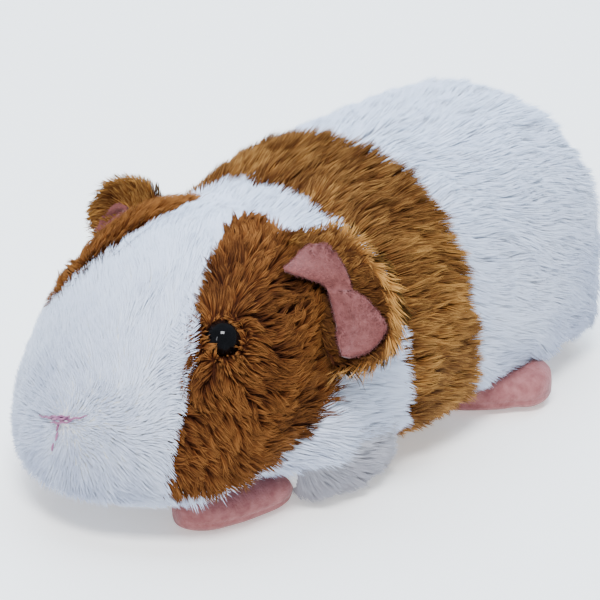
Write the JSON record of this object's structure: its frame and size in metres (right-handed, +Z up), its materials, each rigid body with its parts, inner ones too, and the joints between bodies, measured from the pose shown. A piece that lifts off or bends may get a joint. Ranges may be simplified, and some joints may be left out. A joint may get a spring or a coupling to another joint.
{
  "type": "plush toy guinea pig",
  "caption": "Stuffed plush guinea pig lying on its belly, white with a brown saddle and cheeks, folded ears, black eyes and pink feet.",
  "frame": {"origin": "on the flat of the belly, on the toy's midline under the brown band, at the surface it lies on", "axes": "+Z up, -Y towards the nose, +X towards the toy's own left side"},
  "size_m": [0.1131, 0.1984, 0.0804],
  "materials": {
    "white_plush": "long soft pile, matt",
    "brown_plush": "long soft pile, matt",
    "pink_velour": "short nap, matt",
    "black_eye": "polished",
    "pink_thread": "stranded embroidery thread"
  },
  "bodies": {
    "root": {"head": "white_plush", "neck": "white_plush", "trunk": "brown_plush", "rump": "white_plush", "foreleg_left": "white_plush", "foreleg_right": "white_plush", "forepaw_left": "pink_velour", "forepaw_right": "pink_velour", "hind_foot_left": "pink_velour", "hind_foot_right": "pink_velour", "ear_left": "brown_plush", "ear_right": "brown_plush", "ear_lining_left": "pink_velour", "ear_lining_right": "pink_velour", "eye_left": "black_eye", "eye_right": "black_eye", "nose_stitching": "pink_thread", "mouth_stitching": "pink_thread"}
  },
  "joints": []
}
